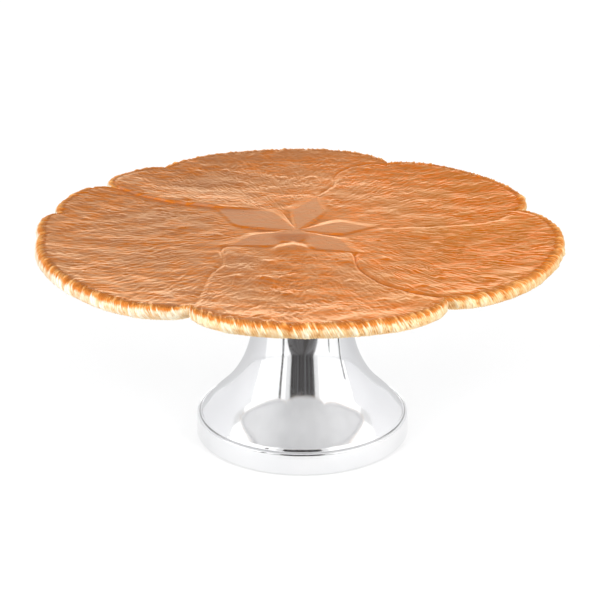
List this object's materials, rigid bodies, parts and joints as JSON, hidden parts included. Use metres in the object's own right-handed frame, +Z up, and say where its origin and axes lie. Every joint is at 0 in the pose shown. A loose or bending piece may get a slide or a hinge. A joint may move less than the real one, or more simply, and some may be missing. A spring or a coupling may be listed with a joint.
{
  "type": "cake stand",
  "caption": "Footed cake stand: a wide shallow plate with petal-shaped edge and enamelled top, bolted to a hollow flared metal pedestal.",
  "frame": {"origin": "on the pedestal's axis, at the plane that the foot stands on", "axes": "+Z up along the pedestal, -Y towards the front petal, +X to the right seen from the front"},
  "size_m": [0.3025, 0.3059, 0.13],
  "materials": {
    "enamel": "glossy pearl enamel, orange brown, pale gold along the ribbed edge",
    "cast_aluminium": "fine satin, as cast and brushed",
    "polished_aluminium": "mirror polished",
    "zinc_steel": "zinc plated",
    "fibre": "matt compressed fibre",
    "foot_rubber": "matt rubber"
  },
  "bodies": {
    "root": {"plate": "cast_aluminium", "enamel_coat": "enamel", "seat_gasket": "fibre", "pedestal": "polished_aluminium", "flat_washer": "zinc_steel", "lock_washer": "zinc_steel", "centre_bolt": "zinc_steel", "foot_ring": "foot_rubber"}
  },
  "joints": []
}
